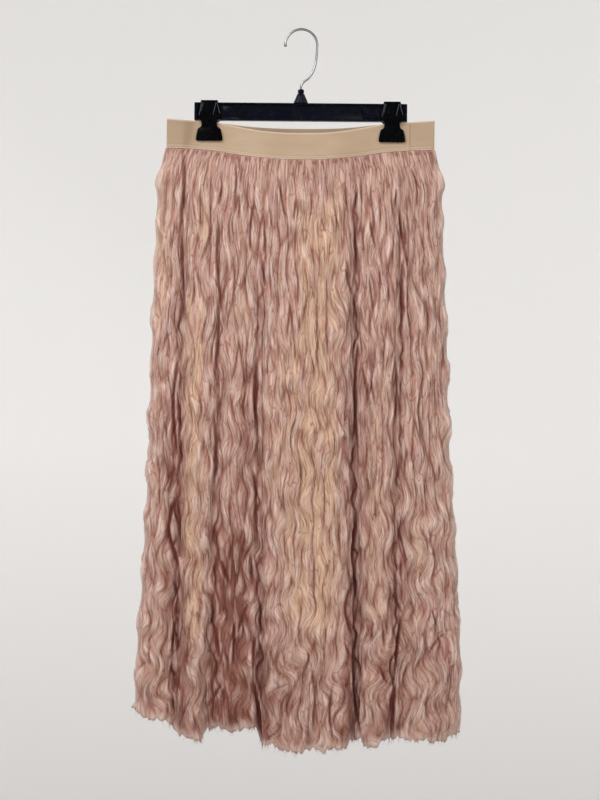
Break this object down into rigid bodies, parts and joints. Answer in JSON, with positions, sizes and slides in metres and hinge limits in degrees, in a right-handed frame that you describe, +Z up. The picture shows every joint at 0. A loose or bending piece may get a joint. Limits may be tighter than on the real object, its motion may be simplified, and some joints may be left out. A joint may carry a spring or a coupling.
{
  "type": "crinkle-pleated maxi skirt on a clip hanger",
  "caption": "Long skirt of crinkle-pleated sheer cloth over a tan lining, with a wide elastic waistband, hanging flat from a clip hanger.",
  "frame": {"origin": "the highest point of the inside of the hook's bow, where the wire bears on a rail", "axes": "+Z up along the hanging garment, +X to the right as seen from the front, -Y out of the skirt's front"},
  "size_m": [0.4716, 0.0974, 1.0292],
  "materials": {
    "crinkle_chiffon": "dusty pink sheer chiffon, permanently crinkled into fine upright pleats, soft sheen on the ridges",
    "lining": "plain tan woven lining",
    "elastic": "smooth beige woven elastic with fine ribs across its height",
    "hanger_plastic": "black plastic with a navy cast, moulded, glossy",
    "hook_wire": "bright plated steel wire"
  },
  "bodies": {
    "root": {"skirt_front": "crinkle_chiffon", "skirt_back": "crinkle_chiffon", "lining_front": "lining", "lining_back": "lining", "waistband": "elastic", "hanger_bar": "hanger_plastic", "hanger_neck": "hanger_plastic", "clip_left": "hanger_plastic", "clip_right": "hanger_plastic", "hanger_hook": "hook_wire"}
  },
  "joints": []
}
